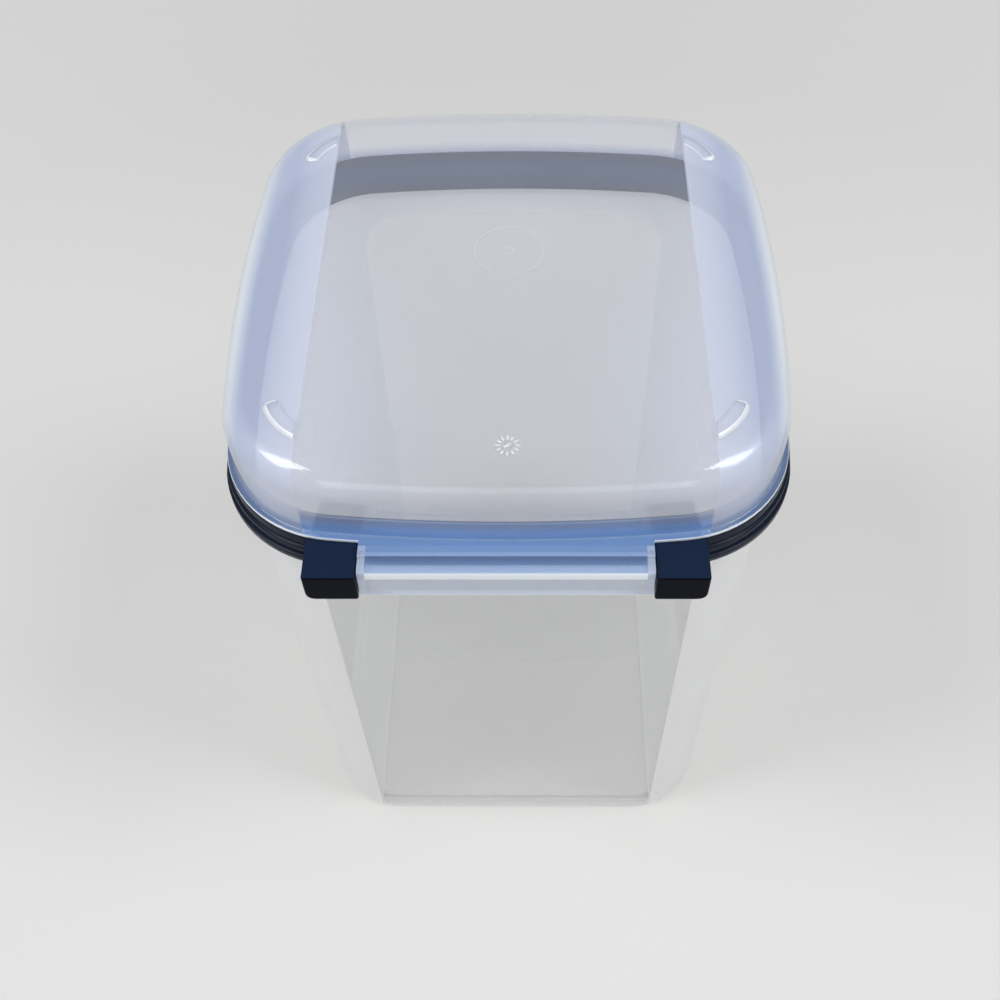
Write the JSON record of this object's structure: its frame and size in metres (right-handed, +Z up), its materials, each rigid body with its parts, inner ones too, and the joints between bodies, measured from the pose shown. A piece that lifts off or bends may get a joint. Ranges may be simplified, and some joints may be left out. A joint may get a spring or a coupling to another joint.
{
  "type": "rice bin with flip lid",
  "caption": "Tall translucent plastic rice bin, rounded square, with a dark clipped-on rim ring and a domed lid that flips open on trunnions between two hinge blocks.",
  "frame": {"origin": "centre of the container's base, on the surface that the bin stands on", "axes": "+Z up, towards the lid's top; -Y towards the hinge side, which faces the viewer in the picture; X along the hinge line"},
  "size_m": [0.246, 0.2551, 0.34],
  "materials": {
    "milky_body": "milky translucent polypropylene, fine matte grain outside, with polished clear windows in the front and back walls",
    "clear_lid": "clear polypropylene, frosted on both sides of a polished stripe over the top",
    "navy_ring": "dark navy polypropylene, satin gloss with polished bands on the stepped outer side",
    "navy_block": "dark navy polypropylene, fine matte grain on top and a polished back face",
    "gasket": "soft off-white silicone, matte"
  },
  "bodies": {
    "bin": {"container": "milky_body", "rim_ring": "navy_ring", "rim_gasket": "gasket", "hinge_block_left": "navy_block", "hinge_block_right": "navy_block"},
    "lid": {"lid": "clear_lid"}
  },
  "joints": [
    {"name": "lid_hinge", "type": "hinge", "parent": "bin", "child": "lid", "pos_m": [0, -0.1255, 0.294], "axis": [1, 0, 0], "range_deg": [0, 105]}
  ]
}
